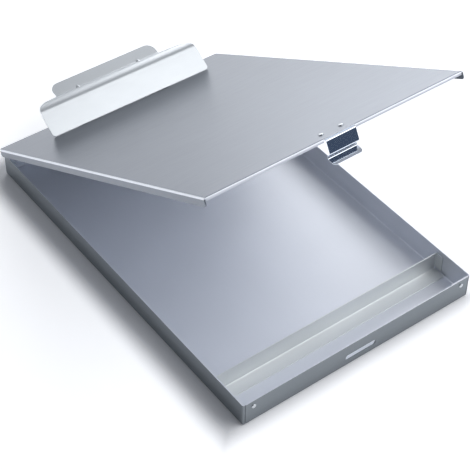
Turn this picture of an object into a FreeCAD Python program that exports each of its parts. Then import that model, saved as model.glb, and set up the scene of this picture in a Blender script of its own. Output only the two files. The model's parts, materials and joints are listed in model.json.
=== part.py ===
import FreeCAD, Part
import math
import os
import re
import Sketcher
from FreeCAD import Vector

os.makedirs("parts", exist_ok=True)

# Storage clipboard box: a sheet-metal tray with a pen divider, a lid on a piano hinge that is the
# writing board, a sprung lever clip on the lid, and a spring latch that snaps into the tray's front wall.
# Frame of the tray: X to the right, Y to the hinge, Z up, origin at the middle of the tray's underside.
# Pieces on the lid are drawn with the lid level and the origin on the hinge pin, then turned open.

# Driving dimensions in millimetres, with angles in degrees.
SIZES = [
    ("tray_width", 245.0, "outside width of the tray"),
    ("tray_length", 374.0, "outside length of the tray"),
    ("wall_height", 24.8, "height of the tray's walls"),
    ("sheet", 1.0, "sheet thickness of tray, divider and lid"),
    ("inner_bend", 1.2, "inside bend radius of tray and divider"),
    ("edge_round", 0.2, "softened top edge of the tray's walls"),
    ("tab_length", 19.0, "corner tab behind a front or back wall"),
    ("tab_drop", 0.8, "corner tab below the wall's top edge"),
    ("seam_inset", 2.1, "corner seam from the side of the tray"),
    ("seam_gap", 0.3, "width of the corner seam"),
    ("overrun", 2.0, "how far a cut runs past what it cuts"),
    ("clearance", 0.3, "gap between pieces that pass or stop each other"),
    ("slot_length", 32.6, "latch slot in the front wall"),
    ("slot_height", 5.8, "height of the latch slot"),
    ("slot_middle", 10.0, "middle of the latch slot above the underside"),
    ("divider_setback", 40.5, "divider's front face from the front of the tray"),
    ("divider_height", 20.0, "top of the divider above the underside"),
    ("divider_flange", 14.0, "foot of the divider, towards the front"),
    ("divider_lip", 3.8, "low strip of the divider above the underside"),
    ("divider_tab", 9.0, "end tab of the divider along the side wall"),
    ("divider_round", 1.5, "rounded top corner beside the finger gap"),
    ("gap_top", 96.0, "finger gap of the divider at the top"),
    ("gap_bottom", 83.0, "finger gap of the divider at the lip"),
    ("shank_radius", 1.2, "rivet shank"),
    ("shank_play", 0.1, "hole larger than the shank, on the radius"),
    ("head_radius", 2.2, "rivet head"),
    ("head_height", 0.9, "rivet head"),
    ("head_round", 0.75, "rounding of the rivet head"),
    ("tail_round", 0.4, "rounding of the closed end"),
    ("tail_radius", 1.9, "closed end of the rivet"),
    ("tail_height", 0.7, "closed end of the rivet"),
    ("corner_rivet_inset", 10.5, "corner rivet from the side of the tray"),
    ("corner_rivet_height", 18.6, "corner rivet above the underside"),
    ("hinge_rivet_end", 14.5, "last hinge rivet from the end of the hinge"),
    ("hinge_rivet_height", 16.5, "hinge rivets of the tray above the underside"),
    ("hinge_rivet_inset", 7.5, "hinge rivets of the lid from its back edge"),
    ("hinge_end_gap", 5.0, "end of the hinge from the middle of a corner rivet"),
    ("hinge_sheet", 0.9, "leaf thickness"),
    ("hinge_rise", 1.2, "hinge pin above the back wall's top edge"),
    ("barrel_radius", 2.2, "outside of the hinge barrel"),
    ("pin_radius", 1.2, "hinge pin"),
    ("pin_play", 0.06, "running clearance of both pins on the radius"),
    ("pin_stub", 0.8, "hinge pin past the last knuckle"),
    ("knuckle_gap", 0.4, "end play between knuckles"),
    ("leaf_depth_tray", 15.0, "tray leaf below the pin"),
    ("leaf_depth_lid", 15.0, "lid leaf in front of the pin"),
    ("leaf_rest", 0.4, "leaf edge outside the barrel of the other leaf"),
    ("lid_width", 252.0, "outside width of the lid"),
    ("lid_length", 376.5, "length of the lid"),
    ("lid_depth", 7.2, "height of the lid's side flanges"),
    ("lid_bend", 1.6, "outside bend radius of the lid"),
    ("lid_open", 29.5, "how far the lid stands open"),
    ("hem_bend", 0.6, "softened front edge of the lid"),
    ("hem_depth", 3.0, "depth of the lid's front hem with its sheet"),
    ("hem_notch", 31.0, "notch of the hem for the latch"),
    ("hem_gap", 0.5, "gap between the hem and a side flange"),
    ("flange_round_back", 5.5, "rounded lower back corner of a side flange"),
    ("flange_round_front", 1.8, "rounded lower front corner of a side flange"),
    ("lid_corner", 2.5, "clipped back corner of the lid"),
    ("clip_sheet", 0.9, "spring steel of the clip"),
    ("jaw_width", 175.0, "width of the clip's jaw"),
    ("toe_back", 45.2, "jaw's edge on the paper from the lid's back edge"),
    ("ridge_back", 29.7, "top of the jaw from the lid's back edge"),
    ("ridge_height", 30.2, "top of the jaw above the lid"),
    ("crease_back", 10.9, "thumb tab's crease from the lid's back edge"),
    ("crease_height", 26.8, "thumb tab's crease above the lid"),
    ("tip_back", 0.2, "thumb tab's edge from the lid's back edge"),
    ("tip_height", 36.2, "thumb tab's edge above the lid"),
    ("ridge_bend", 11.0, "outside bend radius of the jaw's top"),
    ("crease_bend", 2.0, "inside bend radius of the thumb tab"),
    ("toe_round", 3.0, "rounded front corner of the jaw"),
    ("wing_back", 36.7, "middle of a wing's rounding from the lid's back edge"),
    ("wing_round", 11.0, "rounded outer corner of a wing beside the thumb tab"),
    ("tab_width", 116.0, "width of the thumb tab"),
    ("tab_round", 8.5, "rounded corner of the thumb tab"),
    ("gusset_place", 34.0, "gusset from the middle of the clip"),
    ("gusset_width", 2.6, "gusset across the thumb tab's crease"),
    ("gusset_reach", 3.6, "gusset on each side of the crease"),
    ("pivot_back", 24.0, "clip pin from the lid's back edge"),
    ("pivot_height", 11.0, "clip pin above the lid"),
    ("pivot_radius", 1.5, "clip pin"),
    ("pivot_head", 2.4, "head of the clip pin"),
    ("pivot_head_height", 0.8, "head of the clip pin"),
    ("base_width", 96.0, "clip base over its ears"),
    ("base_depth", 24.0, "clip base along the lid"),
    ("base_sheet", 1.0, "clip base and jaw brackets"),
    ("base_corner", 3.0, "rounded corner of the clip base"),
    ("base_bend", 0.8, "inside bend radius of the clip base"),
    ("ear_width", 12.0, "ear of the clip base"),
    ("ear_crown", 5.0, "ear above the clip pin"),
    ("ear_round", 5.0, "rounding of an ear"),
    ("base_rivet_place", 20.0, "clip base rivet from the middle"),
    ("base_rivet_pitch", 14.0, "clip base rivets along the lid"),
    ("bracket_gap", 0.4, "jaw bracket from the ear of the base"),
    ("bracket_width", 9.0, "ear of a jaw bracket"),
    ("bracket_flange", 10.0, "flange of a jaw bracket under the jaw"),
    ("bracket_crown", 4.5, "jaw bracket above and below the clip pin"),
    ("flange_front", 21.2, "front of a bracket's flange from the lid's back edge"),
    ("flange_back", 13.6, "back of a bracket's flange from the lid's back edge"),
    ("spring_inset", 10.6, "middle of a spring from the ear of its jaw bracket"),
    ("spring_wire", 0.6, "radius of the spring wire"),
    ("spring_radius", 3.1, "middle of the wire from the pin's axis"),
    ("spring_pitch", 1.75, "one turn of the spring to the next"),
    ("leg_drop", 32.0, "slope of the spring's lower leg"),
    ("leg_rise", 58.0, "slope of the spring's upper leg"),
    ("latch_width", 29.0, "width of the latch"),
    ("latch_sheet", 0.6, "spring steel of the latch"),
    ("latch_foot", 16.0, "foot of the latch under the lid"),
    ("latch_reach", 1.4, "latch's face in front of the lid"),
    ("latch_bend", 1.6, "outside bend radius of the latch"),
    ("latch_split", 0.4, "gap between the latch's foot and its leaf"),
    ("latch_face", 13.0, "end of the latch's face below the lid's top"),
    ("nose_depth", 4.35, "latch's nose behind its face"),
    ("nose_top", 15.7, "latch's nose below the lid's top"),
    ("nose_bottom", 17.2, "latch's nose below the lid's top"),
    ("lip_reach", 1.9, "latch's lip in front of its face"),
    ("lip_drop", 21.6, "latch's lip below the lid's top"),
    ("nose_round", 0.5, "bend radius of the latch's nose"),
    ("lip_round", 3.0, "rounded corner of the latch's lip"),
    ("latch_rivet_place", 9.6, "latch rivet from the middle"),
    ("latch_rivet_inset", 10.8, "latch rivets from the lid's front edge"),
]

# Counts: knuckles of both leaves together, rivets of each leaf, and turns and arcs of a clip spring.
KNUCKLES = 15
TRAY_HINGE_RIVETS = 6
LID_HINGE_RIVETS = 4
SPRING_TURNS = 6
ARCS_PER_TURN = 4

# Places worked out from the driving dimensions. Those of the lid are measured from the hinge pin.
PLACES = {
    "hinge_y": "(tray_length / 2 + barrel_radius)",
    "hinge_z": "(wall_height + hinge_rise)",
    "inner_half": "(tray_width / 2 - sheet)",
    "divider_y": "(divider_setback - tray_length / 2)",
    "lid_under": "barrel_radius",
    "lid_top": "(barrel_radius + sheet)",
    "lid_back": "(-barrel_radius - clearance)",
    "lid_front": "(lid_back - lid_length)",
    "lid_hollow": "(lid_width / 2 - sheet)",
    "hinge_length": "(tray_width - 2 * corner_rivet_inset - 2 * hinge_end_gap)",
    "hinge_rivet_pitch": f"((hinge_length - 2 * hinge_rivet_end) / {TRAY_HINGE_RIVETS - 1})",
    "knuckle_pitch": f"(hinge_length / {KNUCKLES})",
    "pivot_y": "(lid_back - pivot_back)",
    "pivot_z": "(lid_top + pivot_height)",
    "crease_y": "(lid_back - crease_back)",
    "crease_z": "(lid_top + crease_height)",
    "ridge_y": "(lid_back - ridge_back)",
    "wing_y": "(lid_back - wing_back)",
    "ridge_z": "(lid_top + ridge_height)",
    "leg_slope": "((ridge_height - clearance) / (toe_back - ridge_back))",
    "toe_lift": "(clearance + clip_sheet * cos(atan(leg_slope)))",
    "jaw_slope": "((ridge_height - crease_height) / (ridge_back - crease_back))",
    "tab_slope": "((tip_height - crease_height) / (crease_back - tip_back))",
    "jaw_drop": "(clip_sheet / cos(atan(jaw_slope)))",
    "flange_drop": "(base_sheet / cos(atan(jaw_slope)))",
    "flange_front_z": "(ridge_z - (ridge_back - flange_front) * jaw_slope - jaw_drop)",
    "flange_back_z": "(ridge_z - (ridge_back - flange_back) * jaw_slope - jaw_drop)",
    "bracket_inner": "(base_width / 2 - 2 * base_sheet - bracket_gap)",
    "spring_place": "(bracket_inner - spring_inset)",
    "hole_radius": "(shank_radius + shank_play)",
    "tab_foot": "(sheet + inner_bend + clearance)",
    "latch_y": "(lid_front - latch_reach)",
}
NAMES = {name for name, number, note in SIZES}

doc = FreeCAD.newDocument("clipboard_box")
sizes = doc.addObject("Spreadsheet::Sheet", "Sizes")
for row, (name, number, note) in enumerate(SIZES, start=1):
    sizes.set(f"A{row}", name)
    sizes.set(f"B{row}", str(number))
    sizes.setAlias(f"B{row}", name)
    sizes.set(f"C{row}", note)
doc.recompute()

NODES = []
# Two numbers closer than this are the same place when an edge is picked.
NEAR = 1e-4


def formula(text):
    """The text with every place written out and every size pointing at its cell."""
    def known(match):
        word = match.group(0)
        if word in PLACES:
            return formula(PLACES[word])
        return f"Sizes.{word}" if word in NAMES else word
    return re.sub(r"[a-z_]+", known, text)


def value(text):
    """The number that a formula gives now."""
    return float(sizes.evalExpression(formula(text)))


def bind(thing, prop, text):
    thing.setExpression(prop, formula(text))


def new_body(label, on_lid=False):
    """A body of its own, in the tray's frame or turned open with the lid about the hinge pin."""
    body = doc.addObject("PartDesign::Body", label)
    body.Label = label
    NODES.append(body)
    if on_lid:
        place_on_lid(body)
    return body


def place_on_lid(thing):
    thing.Placement = FreeCAD.Placement(Vector(), FreeCAD.Rotation(Vector(-1, 0, 0), value("lid_open")))
    bind(thing, "Placement.Base.y", "hinge_y")
    bind(thing, "Placement.Base.z", "hinge_z")
    bind(thing, "Placement.Rotation.Angle", "lid_open")


def origin_part(body, role):
    return next(part for part in body.Origin.OriginFeatures if part.Role == role)


def sketch_on(body, role, offset="0"):
    """A sketch on one of the body's own origin planes, moved along the plane's normal."""
    sketch = body.newObject("Sketcher::SketchObject", f"{body.Label}_sketch")
    sketch.AttachmentSupport = [(origin_part(body, role), "")]
    sketch.MapMode = "FlatFace"
    bind(sketch, "AttachmentOffset.Base.z", offset)
    return sketch


def pin_point(sketch, line, end, across, up):
    """Bind one point of the sketch to two formulas."""
    for kind, text in (("DistanceX", across), ("DistanceY", up)):
        index = sketch.addConstraint(Sketcher.Constraint(kind, -1, 1, line, end, value(text)))
        bind(sketch, f"Constraints[{index}]", text)


def closed_lines(sketch, points):
    """Straight lines through the points and back to the first, joined end to end."""
    first = sketch.GeometryCount
    lines = [Part.LineSegment(a, b) for a, b in zip(points, points[1:] + points[:1])]
    sketch.addGeometry(lines, False)
    last = len(lines) - 1
    for i in range(len(lines)):
        following = first + (0 if i == last else i + 1)
        sketch.addConstraint(Sketcher.Constraint("Coincident", first + i, 2, following, 1))
    return first


def polygon(sketch, corners):
    points = [Vector(value(across), value(up), 0) for across, up in corners]
    first = closed_lines(sketch, points)
    for i, (across, up) in enumerate(corners):
        pin_point(sketch, first + i, 1, across, up)


def rectangle(sketch, left, right, low, high):
    polygon(sketch, [(left, low), (right, low), (right, high), (left, high)])


def circle(sketch, across, up, radius):
    centre = Vector(value(across), value(up), 0)
    index = sketch.addGeometry(Part.Circle(centre, Vector(0, 0, 1), value(radius)), False)
    pin_point(sketch, index, 3, across, up)
    size = sketch.addConstraint(Sketcher.Constraint("Radius", index, value(radius)))
    bind(sketch, f"Constraints[{size}]", radius)


def long_hole(sketch, length, height, middle):
    """A slot with round ends, level and centred on the sketch's upright axis."""
    reach = f"({length} - {height}) / 2"
    half, radius, level = value(reach), value(f"{height} / 2"), value(middle)
    turn = math.pi / 2
    ends = [Vector(half, level, 0), Vector(-half, level, 0)]
    circles = [Part.Circle(end, Vector(0, 0, 1), radius) for end in ends]
    right = sketch.addGeometry(Part.ArcOfCircle(circles[0], -turn, turn), False)
    left = sketch.addGeometry(Part.ArcOfCircle(circles[1], turn, 3 * turn), False)
    lift = Vector(0, radius, 0)
    top = sketch.addGeometry(Part.LineSegment(ends[0] + lift, ends[1] + lift), False)
    bottom = sketch.addGeometry(Part.LineSegment(ends[1] - lift, ends[0] - lift), False)
    for first, start, second, end in ((right, 2, top, 1), (top, 2, left, 1), (left, 2, bottom, 1),
                                      (bottom, 2, right, 1)):
        sketch.addConstraint(Sketcher.Constraint("Tangent", first, start, second, end))
    pin_point(sketch, right, 3, reach, middle)
    pin_point(sketch, left, 3, f"-{reach}", middle)
    size = sketch.addConstraint(Sketcher.Constraint("Radius", right, radius))
    bind(sketch, f"Constraints[{size}]", f"{height} / 2")


def behind_slant(sketch, centre, radius, corners):
    """The space behind a slanted edge, which runs from the first corner into a rounding's arc.

    The arc ends level with its centre and with the last corner.
    """
    middle, *points = (Vector(value(across), value(up), 0) for across, up in [centre] + corners)
    size = value(radius)
    to_first = points[0] - middle
    turn = math.atan2(to_first.y, to_first.x) - math.acos(size / to_first.Length)
    rounding = Part.ArcOfCircle(Part.Circle(middle, Vector(0, 0, 1), size), 0, turn)
    arc_edge = sketch.addGeometry(rounding, False)
    points = [rounding.EndPoint] + points + [rounding.StartPoint]
    lines = [sketch.addGeometry(Part.LineSegment(a, b), False) for a, b in zip(points, points[1:])]
    sketch.addConstraint(Sketcher.Constraint("Tangent", arc_edge, 2, lines[0], 1))
    for before, after in zip(lines, lines[1:] + [arc_edge]):
        sketch.addConstraint(Sketcher.Constraint("Coincident", before, 2, after, 1))
    sketch.addConstraint(Sketcher.Constraint("Horizontal", lines[-1]))
    for line, (across, up) in zip(lines, corners):
        pin_point(sketch, line, 2, across, up)
    pin_point(sketch, arc_edge, 3, *centre)
    index = sketch.addConstraint(Sketcher.Constraint("Radius", arc_edge, size))
    bind(sketch, f"Constraints[{index}]", radius)


def bent_sheet(sketch, corners, thickness):
    """Bent sheet seen on edge. The corners are bound, and the other face runs to their right.

    It gives both faces' points at each corner, with the one inside the bend first.
    """
    outer = [Vector(value(across), value(up), 0) for across, up in corners]
    gauge = value(thickness)
    runs = [(b - a).normalize() for a, b in zip(outer, outer[1:])]
    inward = [Vector(run.y, -run.x, 0) for run in runs]
    inner = [outer[0] + inward[0] * gauge]
    for point, before, after in zip(outer[1:], inward, inward[1:]):
        inner.append(point + (before + after) * (gauge / (1 + before.dot(after))))
    inner.append(outer[-1] + inward[-1] * gauge)
    first = closed_lines(sketch, outer + inner[::-1])
    count = len(corners)
    for i, (across, up) in enumerate(corners):
        pin_point(sketch, first + i, 1, across, up)
    sketch.addConstraint(Sketcher.Constraint("Perpendicular", first, first + 2 * count - 1))
    sketch.addConstraint(Sketcher.Constraint("Perpendicular", first + count - 2, first + count - 1))
    for i in range(count - 1):
        back = first + 2 * count - 2 - i
        sketch.addConstraint(Sketcher.Constraint("Parallel", first + i, back))
        index = sketch.addConstraint(Sketcher.Constraint("Distance", first + i, 1, back, gauge))
        bind(sketch, f"Constraints[{index}]", thickness)
    pairs = [(outer[0], inner[0])]
    for i in range(1, count - 1):
        left_turn = runs[i - 1].cross(runs[i]).z > 0
        pairs.append((outer[i], inner[i]) if left_turn else (inner[i], outer[i]))
    return pairs + [(outer[-1], inner[-1])]


def pad(body, sketch, length, backwards=False, symmetric=False):
    feature = body.newObject("PartDesign::Pad", f"{body.Label}_pad")
    feature.Profile = sketch
    feature.SideType = "Symmetric" if symmetric else "One side"
    feature.Reversed = backwards
    bind(feature, "Length", length)
    doc.recompute()
    return feature


def pocket(body, sketch, depth, backwards=False, symmetric=False):
    """A cut that is refused when it takes nothing away."""
    before = body.Shape.Volume
    feature = body.newObject("PartDesign::Pocket", f"{body.Label}_pocket")
    feature.Profile = sketch
    feature.SideType = "Symmetric" if symmetric else "One side"
    feature.Reversed = backwards
    bind(feature, "Length", depth)
    doc.recompute()
    if body.Shape.Volume >= before:
        raise RuntimeError(f"{feature.Label} cuts nothing")
    return feature


def round_edges(body, radius, chosen):
    """Round the edges of the body's last feature that the test picks."""
    base = body.Tip
    names = [f"Edge{i}" for i, edge in enumerate(base.Shape.Edges, start=1) if chosen(edge)]
    if not names:
        raise RuntimeError(f"no edge to round on {body.Label}")
    feature = body.newObject("PartDesign::Fillet", f"{body.Label}_round")
    feature.Base = (base, names)
    bind(feature, "Radius", radius)
    doc.recompute()
    return feature


def mirror(body, features, role):
    feature = body.newObject("PartDesign::Mirrored", f"{body.Label}_mirror")
    feature.Originals = features
    feature.MirrorPlane = (origin_part(body, role), [""])
    body.Tip = feature
    doc.recompute()
    return feature


def repeat(body, features, role, length, count):
    feature = body.newObject("PartDesign::LinearPattern", f"{body.Label}_pattern")
    feature.Originals = features
    feature.Direction = (origin_part(body, role), [""])
    feature.Occurrences = count
    bind(feature, "Length", length)
    body.Tip = feature
    doc.recompute()
    return feature


def near(a, b):
    return abs(a - b) < NEAR


def runs_along(edge, axis):
    """Whether a straight edge runs along one of the three axes, 0 for X, 1 for Y and 2 for Z."""
    if len(edge.Vertexes) != 2 or edge.Curve.TypeId != "Part::GeomLine":
        return False
    step = edge.Vertexes[1].Point - edge.Vertexes[0].Point
    return all(near(step[i], 0) for i in range(3) if i != axis)


def joins(edge, ends):
    """Whether an edge runs between one of the given pairs of points."""
    if len(edge.Vertexes) != 2:
        return False
    a, b = (vertex.Point for vertex in edge.Vertexes)
    return any(near((a - p).Length + (b - q).Length, 0) or near((a - q).Length + (b - p).Length, 0)
               for p, q in ends)


def passes(edge, axis, places):
    """Whether a straight edge along an axis passes one of the places in the plane across it."""
    if not runs_along(edge, axis):
        return False
    across = [i for i in range(3) if i != axis]
    point = edge.Vertexes[0].Point
    return any(all(near(point[i], place[k]) for k, i in enumerate(across)) for place in places)


def lies_at(edge, axis, level):
    """Whether every point of an edge's ends lies at one level of an axis."""
    return all(near(vertex.Point[axis], level) for vertex in edge.Vertexes)


def is_rim(edge, axis, level, radius):
    """Whether an edge is a full circle of one radius at one level of an axis."""
    if len(edge.Vertexes) != 1 or edge.Curve.TypeId != "Part::GeomCircle":
        return False
    return near(edge.Curve.Radius, radius) and near(edge.Vertexes[0].Point[axis], level)


def round_bend(body, pair, inside, thickness):
    """Round both faces of a bend that runs along X."""
    small, large = pair
    round_edges(body, inside, lambda edge: passes(edge, 0, [(small.x, small.y)]))
    round_edges(body, f"{inside} + {thickness}", lambda edge: passes(edge, 0, [(large.x, large.y)]))


def end_edges(pair, half_width):
    """The two short edges where a strip's cut end meets its sides."""
    return [[Vector(x, point.x, point.y) for point in pair] for x in (-half_width, half_width)]


def four_corners(half_width, half_length):
    return [(x * half_width, y * half_length) for x in (-1, 1) for y in (-1, 1)]


def hinge_rivet_places(count, up):
    """Rivets along the hinge, evenly to both sides of the middle."""
    shares = [i - (count - 1) / 2 for i in range(count)]
    return [(f"{share} * hinge_rivet_pitch", up) for share in shares]


def sides(across, up):
    return [(f"-{across}", up), (across, up)]


def make_tray():
    """One folded sheet: floor, four walls, and corner tabs behind the front and back walls."""
    body = new_body("tray")
    outline = sketch_on(body, "XY_Plane")
    rectangle(outline, "-tray_width / 2", "tray_width / 2", "-tray_length / 2", "tray_length / 2")
    pad(body, outline, "wall_height")
    outer = four_corners(value("tray_width / 2"), value("tray_length / 2"))
    round_edges(body, "inner_bend + sheet", lambda edge: lies_at(edge, 2, 0) or passes(edge, 2, outer))

    hollow = sketch_on(body, "XY_Plane", "wall_height")
    rectangle(hollow, "-inner_half", "inner_half", "sheet - tray_length / 2", "tray_length / 2 - sheet")
    pocket(body, hollow, "wall_height - sheet")
    inner = four_corners(value("inner_half"), value("tray_length / 2 - sheet"))
    floor = value("sheet")
    round_edges(body, "inner_bend", lambda edge: lies_at(edge, 2, floor) or passes(edge, 2, inner))
    rim = value("wall_height")
    round_edges(body, "edge_round", lambda edge: lies_at(edge, 2, rim))

    tabs = sketch_on(body, "XY_Plane", "tab_foot")
    for low, high in (("sheet - tray_length / 2", "2 * sheet - tray_length / 2"),
                      ("tray_length / 2 - 2 * sheet", "tray_length / 2 - sheet")):
        rectangle(tabs, "-inner_half", "tab_length - inner_half", low, high)
        rectangle(tabs, "inner_half - tab_length", "inner_half", low, high)
    pad(body, tabs, "wall_height - tab_drop - tab_foot")

    seams = sketch_on(body, "XY_Plane", "wall_height")
    near_side, far_side = "(tray_width / 2 - seam_inset)", "(tray_width / 2 - seam_inset - seam_gap)"
    for low, high in (("-tray_length / 2 - overrun", "sheet - tray_length / 2"),
                      ("tray_length / 2 - sheet", "tray_length / 2 + overrun")):
        rectangle(seams, f"-{near_side}", f"-{far_side}", low, high)
        rectangle(seams, far_side, near_side, low, high)
    pocket(body, seams, "wall_height - tab_foot - sheet")

    front = sketch_on(body, "XZ_Plane", "tray_length / 2")
    long_hole(front, "slot_length", "slot_height", "slot_middle")
    for across, up in sides("(tray_width / 2 - corner_rivet_inset)", "corner_rivet_height"):
        circle(front, across, up, "hole_radius")
    pocket(body, front, "2 * sheet + overrun")

    back = sketch_on(body, "XZ_Plane", "-tray_length / 2")
    for across, up in sides("(tray_width / 2 - corner_rivet_inset)", "corner_rivet_height"):
        circle(back, across, up, "hole_radius")
    for across, up in hinge_rivet_places(TRAY_HINGE_RIVETS, "hinge_rivet_height"):
        circle(back, across, up, "hole_radius")
    pocket(body, back, "2 * sheet + overrun", backwards=True)


def make_divider():
    """The pen divider: a low wall with a finger gap, a foot on the floor and tabs at the side walls."""
    body = new_body("pen_divider")
    notch = "(inner_half - inner_bend - clearance)"
    wall = sketch_on(body, "XZ_Plane", "-divider_y")
    right = [("gap_bottom / 2", "divider_lip"), ("gap_top / 2", "divider_height"),
             ("inner_half", "divider_height"), ("inner_half", "tab_foot"), (notch, "tab_foot"),
             (notch, "sheet")]
    polygon(wall, right + [(f"-{across}", up) for across, up in right[::-1]])
    pad(body, wall, "sheet", backwards=True)

    foot = sketch_on(body, "XY_Plane", "sheet")
    rectangle(foot, f"-{notch}", notch, "divider_y + sheet - divider_flange", "divider_y + sheet")
    pad(body, foot, "sheet")
    bend = (Vector(value("divider_y"), value("2 * sheet"), 0),
            Vector(value("divider_y + sheet"), value("sheet"), 0))
    round_bend(body, bend, "inner_bend", "sheet")

    tab = sketch_on(body, "YZ_Plane", "inner_half - sheet")
    rectangle(tab, "divider_y + sheet - divider_tab", "divider_y + sheet", "tab_foot", "divider_height")
    mirror(body, [pad(body, tab, "sheet")], "YZ_Plane")
    gap = [(sign * value("gap_top / 2"), value("divider_height")) for sign in (-1, 1)]
    round_edges(body, "divider_round", lambda edge: passes(edge, 1, gap))


def rivet_group(label, role, seat, outward, grip, places, on_lid=False):
    """Rivets that share one node: heads on the seat, shanks through the grip, closed ends behind."""
    body = new_body(label, on_lid)
    behind = f"({seat}) - ({outward}) * ({grip})"
    axis, sign = (1, -1) if role == "XZ_Plane" else (2, 1)
    heads_first = outward == 1
    for offset, radius, length, backwards in (
            (seat, "shank_radius", grip, heads_first),
            (seat, "head_radius", "head_height", not heads_first),
            (behind, "tail_radius", "tail_height", heads_first)):
        sketch = sketch_on(body, role, offset)
        for across, up in places:
            circle(sketch, across, up, radius)
        pad(body, sketch, length, backwards=backwards)
    top = sign * value(f"({seat}) + ({outward}) * head_height")
    end = sign * value(f"({behind}) - ({outward}) * tail_height")
    head, tail = value("head_radius"), value("tail_radius")
    round_edges(body, "head_round", lambda edge: is_rim(edge, axis, top, head))
    round_edges(body, "tail_round", lambda edge: is_rim(edge, axis, end, tail))


def make_leaf(label, turn, depth, first_knuckle, knuckles, rivets, rivet_level):
    """A hinge leaf, drawn hanging from the pin with its outer face at the barrel's side."""
    body = new_body(label)
    body.Placement = FreeCAD.Placement(Vector(), FreeCAD.Rotation(Vector(-1, 0, 0), value(turn)))
    bind(body, "Placement.Base.y", "hinge_y")
    bind(body, "Placement.Base.z", "hinge_z")
    bind(body, "Placement.Rotation.Angle", turn)
    root = "(-barrel_radius - leaf_rest)"
    strip = sketch_on(body, "XZ_Plane", "barrel_radius")
    rectangle(strip, "-hinge_length / 2", "hinge_length / 2", f"-{depth}", root)
    pad(body, strip, "hinge_sheet", backwards=True)

    start = f"{first_knuckle} * knuckle_pitch - hinge_length / 2 + knuckle_gap / 2"
    neck = sketch_on(body, "YZ_Plane", start)
    rectangle(neck, "-barrel_radius", "hinge_sheet - barrel_radius", root, "0")
    barrel = sketch_on(body, "YZ_Plane", start)
    circle(barrel, "0", "0", "barrel_radius")
    circle(barrel, "0", "0", "pin_radius + pin_play")
    rolled = [pad(body, sketch, "knuckle_pitch - knuckle_gap") for sketch in (neck, barrel)]
    repeat(body, rolled, "X_Axis", f"{2 * (knuckles - 1)} * knuckle_pitch", knuckles)

    holes = sketch_on(body, "XZ_Plane", "barrel_radius")
    for across, up in hinge_rivet_places(rivets, rivet_level):
        circle(holes, across, up, "hole_radius")
    pocket(body, holes, "hinge_sheet + overrun")


def make_hinge_pin():
    pin = doc.addObject("Part::Cylinder", "hinge_pin")
    pin.Label = "hinge_pin"
    NODES.append(pin)
    bind(pin, "Radius", "pin_radius")
    bind(pin, "Height", "hinge_length + 2 * pin_stub")
    pin.Placement = FreeCAD.Placement(Vector(), FreeCAD.Rotation(Vector(0, 1, 0), 90))
    bind(pin, "Placement.Base.x", "-hinge_length / 2 - pin_stub")
    bind(pin, "Placement.Base.y", "hinge_y")
    bind(pin, "Placement.Base.z", "hinge_z")


def base_rivet_places():
    return [(f"{x} * base_rivet_place", f"pivot_y + {y} * base_rivet_pitch / 2")
            for x in (-1, 1) for y in (-1, 1)]


def latch_rivet_places():
    return sides("latch_rivet_place", "lid_front + latch_rivet_inset")


def lid_hinge_rivet_places():
    return hinge_rivet_places(LID_HINGE_RIVETS, "lid_back - hinge_rivet_inset")


def make_lid_panel():
    """The writing board: a plate with two side flanges and a shallow front hem, in one folded sheet."""
    body = new_body("lid_panel", on_lid=True)
    plate = sketch_on(body, "XY_Plane", "lid_under")
    rectangle(plate, "-lid_width / 2", "lid_width / 2", "lid_front", "lid_back")
    pad(body, plate, "sheet")
    flange_foot = "(lid_top - lid_depth)"
    flanges = sketch_on(body, "XY_Plane", flange_foot)
    rectangle(flanges, "-lid_width / 2", "-lid_hollow", "lid_front", "lid_back")
    rectangle(flanges, "lid_hollow", "lid_width / 2", "lid_front", "lid_back")
    pad(body, flanges, "lid_depth - sheet")
    hem = sketch_on(body, "XY_Plane", "lid_top - hem_depth")
    rectangle(hem, "hem_gap - lid_hollow", "-hem_notch / 2", "lid_front", "lid_front + sheet")
    rectangle(hem, "hem_notch / 2", "lid_hollow - hem_gap", "lid_front", "lid_front + sheet")
    pad(body, hem, "hem_depth - sheet")

    top, under, foot = value("lid_top"), value("lid_under"), value(flange_foot)
    front, back = value("lid_front"), value("lid_back")
    half, hollow = value("lid_width / 2"), value("lid_hollow")
    round_edges(body, "flange_round_back", lambda edge: passes(edge, 0, [(back, foot)]))
    round_edges(body, "flange_round_front", lambda edge: passes(edge, 0, [(front, foot)]))
    round_edges(body, "lid_bend", lambda edge: passes(edge, 1, [(-half, top), (half, top)]))
    round_edges(body, "lid_bend - sheet", lambda edge: passes(edge, 1, [(-hollow, under), (hollow, under)]))
    round_edges(body, "hem_bend", lambda edge: passes(edge, 0, [(front, top)]))

    corners = sketch_on(body, "XY_Plane", "lid_top + overrun")
    reach = "(lid_corner + overrun)"
    for sign in ("-1", "1"):
        side = f"{sign} * (lid_width / 2 + overrun)"
        polygon(corners, [(side, f"lid_back - {reach}"), (side, "lid_back + overrun"),
                          (f"{side} - {sign} * ({reach} + overrun)", "lid_back + overrun")])
    pocket(body, corners, "lid_depth + 2 * overrun")

    holes = sketch_on(body, "XY_Plane", "lid_top")
    for across, up in lid_hinge_rivet_places() + base_rivet_places() + latch_rivet_places():
        circle(holes, across, up, "hole_radius")
    pocket(body, holes, "sheet + overrun")


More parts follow.
